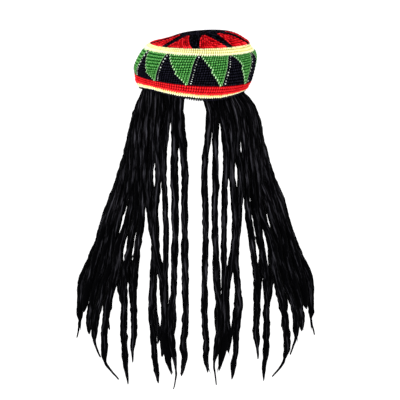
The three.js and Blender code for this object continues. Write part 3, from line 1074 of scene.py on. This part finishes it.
@dataclass
class Fringe:
    """A bunch of felted locks on the tape inside the rim, from the front parting round to the back.

    drop and reach are the lengths that the locks' shares are taken of, and seated_diameter is the
    thickness by which they are let into the tape. Past the length held they come free of their
    route over the length loosening. The sways and swell give each wave's size and spacing, and
    lumps its count round the lock too. The fibres turn once round in about six times fibre_turn,
    and the painted highlights along the ridges, narrower as ridge_sharpness rises, fade toward the
    tips by ridge_end.
    """

    cap: CapForm
    finish: Material
    name: str
    side: int
    drop: float = 580
    reach: float = 240
    diameter: float = 11.4
    seated_diameter: float = 11.2
    flare: float = 0.04
    lift: float = 0
    tape: float = 3.5
    tape_clearance: float = 0.7
    tape_rounds: float = 3
    tape_ends: Pair = (10, 170)
    rib: float = 0.25
    seat: float = 0.1
    rim_clearance: float = 8
    exit_drop: float = 26
    tip_run: float = 0.06
    root_girth: float = 1.05
    root_share: float = 7
    tip_girth: float = 0.14
    hair_girth: float = 0.2
    held: float = 70
    loosening: float = 60
    side_sway: tuple[Pair, ...] = ((1.1, 30), (0.5, 11))
    front_sway: tuple[Pair, ...] = ((1.6, 38),)
    swell: tuple[Pair, ...] = ((0.08, 24), (0.07, 9))
    lumps: tuple[tuple[float, float, int], ...] = ((0.1, 7.5, 5), (0.06, 3.6, 9))
    fibre_turn: float = 150
    fibre_reach: float = 5
    ridge_sway: float = 0.5
    ridge_run: float = 26
    ridge_sharpness: int = 10
    ridge_end: float = 1.35
    turn: float = 0
    sides: int = 12
    steps: tuple[int, ...] = (60, 4)
    locks: tuple[Lock, ...] = tuple(Lock(*row) for row in LOCKS)
    knobs: tuple[Knob, ...] = tuple(Knob(*row) for row in KNOBS)
    wisps: tuple[Wisp, ...] = tuple(Wisp(*row) for row in WISPS)

    def route(self, lock: Lock) -> tuple[np.ndarray, Callable[[np.ndarray], np.ndarray]]:
        """The heights that a lock falls through, and the curve that it hangs along.

        Args:
            lock: The lock.

        Returns:
            Its first and last depth, and a function from depth to place.
        """
        angle = self.side * math.radians(lock.root + self.turn * max(0, 1 - lock.root / 90))
        seat = self.seated_diameter * lock.girth * (0.5 - self.seat)
        inside = self.cap.wall + self.tape_clearance + self.tape + seat
        rounds = np.array([self.tape_rounds, 0.0])
        root, rim = self.cap.point(rounds, np.full(2, angle), np.full(2, -inside))
        tenths = [self.exit_drop] + [i * self.drop / 10 - self.lift for i in range(1, len(lock.path))]
        drop, neck, tip = (value / 1000 for value in (lock.drop, lock.neck, lock.tip))
        last = (drop - 1.5 * self.tip_run) * self.drop - self.lift
        hanging = [(fall, out / 1000 * self.reach) for fall, out in zip(tenths, lock.path) if fall < last]
        stations = [
            (-root[2], self.side * root[0]),
            (-rim[2], self.side * rim[0]),
            (-rim[2] + self.rim_clearance, self.side * rim[0]),
            *hanging,
            ((drop - self.tip_run) * self.drop - self.lift, neck * self.reach),
            (drop * self.drop - self.lift, tip * self.reach),
        ]
        falls, outs = np.array(stations).T
        depth_knots = np.array([falls[0], falls[1], falls[-1]])
        depth_values = np.array([root[1], rim[1], rim[1] * (1 + self.flare)])

        def place(fall: np.ndarray) -> np.ndarray:
            """The curve's place at each depth."""
            aside = self.side * through(falls, outs, fall)
            return np.stack([aside, through(depth_knots, depth_values, fall), -fall], axis=-1)

        return np.array([falls[0], falls[-1]]), place

    def felted(self, tube: Form, index: int, lock: Lock) -> Form:
        """One felted lock, its tube drawn along the route with lumps, kinks and a narrowing tip.

        Args:
            tube: The unit tube.
            index: The lock's number in the bunch.
            lock: The lock.

        Returns:
            The lock.
        """
        rng = np.random.default_rng(100 + index + (50 if self.side > 0 else 0))
        ends, place = self.route(lock)
        dense = np.linspace(*ends, 900)
        line = place(dense)
        run = np.concatenate([[0], np.cumsum(np.linalg.norm(np.diff(line, axis=0), axis=1))])
        length = run[-1]
        share = np.unique(np.round(tube.points[:, 2], 6))
        along = share * length
        fall = np.interp(along, run, dense)
        line = place(fall)
        ahead = place(fall + 1) - place(fall - 1)
        ahead /= np.linalg.norm(ahead, axis=1, keepdims=True)
        aside = np.cross([0.0, 1.0, 0.0], ahead)
        aside /= np.linalg.norm(aside, axis=1, keepdims=True)
        across = np.cross(ahead, aside)
        free = np.clip((along - self.held) / self.loosening, 0, 1)
        for way, sways in ((aside, self.side_sway), (across, self.front_sway)):
            sway = sum(size * wander(rng, along, spacing) for size, spacing in sways)
            line = line + way * (free * sway)[:, None]
        slim = self.root_girth + (1 - self.root_girth) * np.minimum(1, share * self.root_share)
        left = length - along
        narrow = np.clip((left - lock.hair) / lock.point, 0, 1) ** 0.7
        narrow = self.tip_girth + (1 - self.tip_girth) * narrow
        if lock.hair:
            hair = self.hair_girth * (1 + np.minimum(1, left / lock.hair))
            narrow = np.maximum(narrow, hair)
        swell = sum((size * wander(rng, along, spacing) for size, spacing in self.swell), 1)
        radius = self.diameter / 2 * lock.girth * slim * narrow * swell
        ring = np.searchsorted(share, np.round(tube.points[:, 2], 6))
        around = np.arctan2(tube.points[:, 1], tube.points[:, 0])
        turn = around / (2 * np.pi)
        middle = np.hypot(tube.points[:, 0], tube.points[:, 1])
        skin = sum((size * mottle(rng, along[ring], turn, *spacing) for size, *spacing in self.lumps), 1)
        for knob in self.knobs:
            if knob.lock == index:
                near = np.exp(-(((fall[ring] - knob.depth) / knob.spread) ** 2))
                toward = np.maximum(0, np.cos(around) * -knob.side * self.side)
                skin = skin + near * toward * knob.size / radius[ring]
        reach = radius[ring] * skin * middle
        cos, sin = (reach * np.cos(around))[:, None], (reach * np.sin(around))[:, None]
        points = line[ring] + aside[ring] * cos + across[ring] * sin
        cap_end = (middle < 0.5).astype(float)
        points = points + ahead[ring] * (cap_end * np.where(share[ring] > 0.5, 1.2, -1.0))[:, None]
        # painted highlight: a narrow pale band down the front and the back of each lock, fading toward the
        # tip
        sway = self.ridge_sway * wander(rng, along, self.ridge_run)[ring]
        ridge = np.abs(np.sin(around + sway)) ** self.ridge_sharpness
        ridge = ridge * middle * np.clip(self.ridge_end - share[ring], 0, 1)
        spiral = around + along[ring] / self.fibre_turn + index
        x, y = self.fibre_reach * np.cos(spiral) * middle, self.fibre_reach * np.sin(spiral) * middle
        grain = np.stack([x, y, along[ring] + index * 611], axis=-1)
        return tube.with_points(points, grain, ridge)

    def wisp(self, tube: Form, wisp: Wisp) -> Form:
        """A thin end that leaves a lock.

        Args:
            tube: A short unit tube.
            wisp: The thin end.

        Returns:
            The thin end, from inside its lock to its point.
        """
        _, place = self.route(self.locks[wisp.lock])
        x, y, share = tube.points.T
        fall = wisp.start + wisp.length * share
        line = place(fall)
        line[:, 0] += self.side * wisp.out * share**1.6
        radius = wisp.thick / 2 * (1 - 0.9 * share**1.3)
        points = line + np.stack([x * radius, y * radius, np.zeros(len(x))], axis=-1)
        grain = np.stack([x * 3, y * 3, share * wisp.length + wisp.start], axis=-1)
        return tube.with_points(points, grain).outward()

    def build(self) -> None:
        """Make the whole bunch as one piece."""
        tube = drawn_tube(self.sides, self.steps)
        locks = [self.felted(tube, i, lock).outward() for i, lock in enumerate(self.locks)]
        short = drawn_tube(8, (20,))
        ends = [self.wisp(short, wisp) for wisp in self.wisps]
        piece = Form.joined(locks + ends).piece(f"felted_{self.name}", [self.finish])
        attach(piece, "root")
        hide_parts(self.name)
        log.info("felted %s: %d locks", self.name, len(self.locks))

    def build_tape(self) -> None:
        """Make the tape inside the rim that the locks are sewn to."""
        first, last = self.tape_ends
        tape = started(bpy.ops.mesh.primitive_cube_add, size=1, location=(0.5, 0.5, 0.5))
        bpy.ops.object.mode_set(mode="EDIT")
        cut(tape, 0, 64)
        cut(tape, 1, 6)
        bpy.ops.object.mode_set(mode="OBJECT")
        form = Form.of(tape)
        x, y, z = form.points.T
        angle = np.radians(first + (last - first) * x) * self.side
        out = -(self.cap.wall + self.tape_clearance + self.tape * z)
        inner = out < -self.cap.wall - self.tape_clearance - 1
        ribs = self.rib * np.cos(y * 5 * np.pi) * np.where(inner, -1, 1)
        points = self.cap.point(self.tape_rounds * y, angle, out + ribs)
        made = form.with_points(points, np.stack([x * 300, out, y * 14], axis=-1)).outward()
        piece = made.piece(f"{self.name}_tape", [self.finish])
        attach(piece, "root")
        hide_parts(self.name)
        log.info("sewed the tape of %s", self.name)


@dataclass
class Studio:
    """The camera, the pale floor and the soft lights."""

    lens: float = 85
    place: Triple = (0.00925, -1.7378, 0.2659)
    tilt: float = math.radians(74.6)
    floor_level: float = -2.2
    aim: Triple = (0, 0, -0.15)

    def set_camera(self) -> None:
        """Set the camera where the photograph was taken from."""
        data = bpy.data.cameras.new("camera")
        data.lens, data.sensor_width = self.lens, 36
        camera = bpy.data.objects.new("camera", data)
        camera.location = self.place
        camera.rotation_euler = (self.tilt, 0, 0)
        bpy.context.collection.objects.link(camera)
        bpy.context.scene.camera = camera

    def lay_floor(self) -> None:
        """Lay the pale floor."""
        place = (0, 0, self.floor_level)
        floor = started(bpy.ops.mesh.primitive_plane_add, size=240, location=place)
        floor.name = "floor"
        glow = {"Emission Color": (1, 1, 1, 1), "Emission Strength": 1.0}
        paint = Paint("pale_floor", {"Base Color": (0.2, 0.2, 0.2, 1), "Roughness": 0.9} | glow)
        floor.data.materials.append(paint.made)

    def add_light(self, name: str, at: Triple, size: float, power: float) -> None:
        """Add one soft light that faces the cap.

        Args:
            name: The light's name.
            at: Where it stands.
            size: The side of its square.
            power: Its power in watts.
        """
        data = bpy.data.lights.new(name, "AREA")
        data.size, data.energy = size, power
        light = bpy.data.objects.new(name, data)
        light.location = at
        x, y, z = np.array(at) - np.array(self.aim)
        light.rotation_euler = (math.atan2(math.hypot(x, y), z), 0, math.atan2(x, -y))
        bpy.context.collection.objects.link(light)

    def light(self) -> None:
        """Light the cap from the front left, with a fill on the right and one from above."""
        world = bpy.data.worlds.new("studio")
        world.use_nodes = True
        world.node_tree.nodes["Background"].inputs["Color"].default_value = (1, 1, 1, 1)
        world.node_tree.nodes["Background"].inputs["Strength"].default_value = 0.85
        bpy.context.scene.world = world
        self.add_light("key", (-0.8, -2.0, 0.9), 0.8, 27)
        self.add_light("fill", (1.2, -1.9, 0.4), 1.4, 5)
        self.add_light("above", (0.2, 0.4, 1.9), 1.2, 3)
        bpy.context.scene.view_settings.view_transform = "Standard"


def main() -> None:
    """Build the tam piece by piece, then its studio."""
    logging.basicConfig(level=logging.INFO, format="%(name)s: %(message)s", force=True)
    studio = Studio()
    studio.set_camera()
    finishes = Wardrobe()
    cap = CapForm()
    Crochet(cap, finishes).build()
    for name, side, lift, turn in (("left_locks", -1, 0, 0), ("right_locks", 1, 6, 5)):
        fringe = Fringe(cap, finishes.plain[Yarn.FELT], name, side, lift=lift, turn=turn)
        fringe.build()
        fringe.build_tape()
    studio.lay_floor()
    studio.light()


if __name__ == "__main__":
    main()
